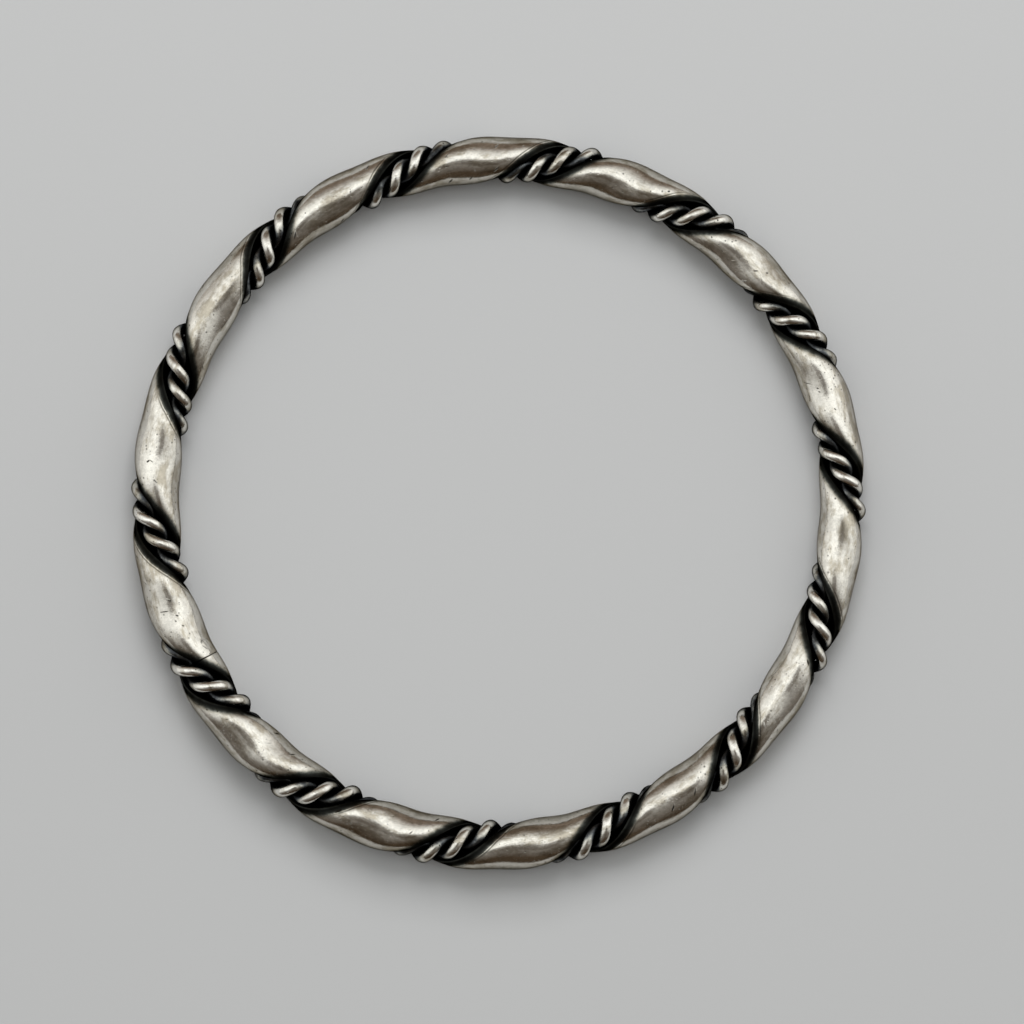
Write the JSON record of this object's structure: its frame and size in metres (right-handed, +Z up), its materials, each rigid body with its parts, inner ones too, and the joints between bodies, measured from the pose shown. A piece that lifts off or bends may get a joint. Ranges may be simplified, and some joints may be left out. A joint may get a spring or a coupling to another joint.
{
  "type": "twisted bangle",
  "caption": "Closed round bangle twisted from a thick half-round silver strand and a fine wire rope, with dark patina in its hollows; slips over the hand onto the wrist.",
  "frame": {"origin": "centre of the ring, on the surface that the bangle lies on", "axes": "+Z up along the axis of the wrist opening; the strands' soldered seam lies between -X and -Y, 242 degrees clockwise from +Y seen from above"},
  "size_m": [0.0751, 0.075, 0.0052],
  "materials": {
    "oxidised_silver_strand": "sterling silver, satin-polished on its dome, with black patina towards its edges and groove",
    "oxidised_silver_wire": "sterling silver wire, polished on its crests, with black patina where the wires cross"
  },
  "bodies": {
    "root": {"half_round_strand": "oxidised_silver_strand", "rope_wire_a": "oxidised_silver_wire", "rope_wire_b": "oxidised_silver_wire"}
  },
  "joints": []
}
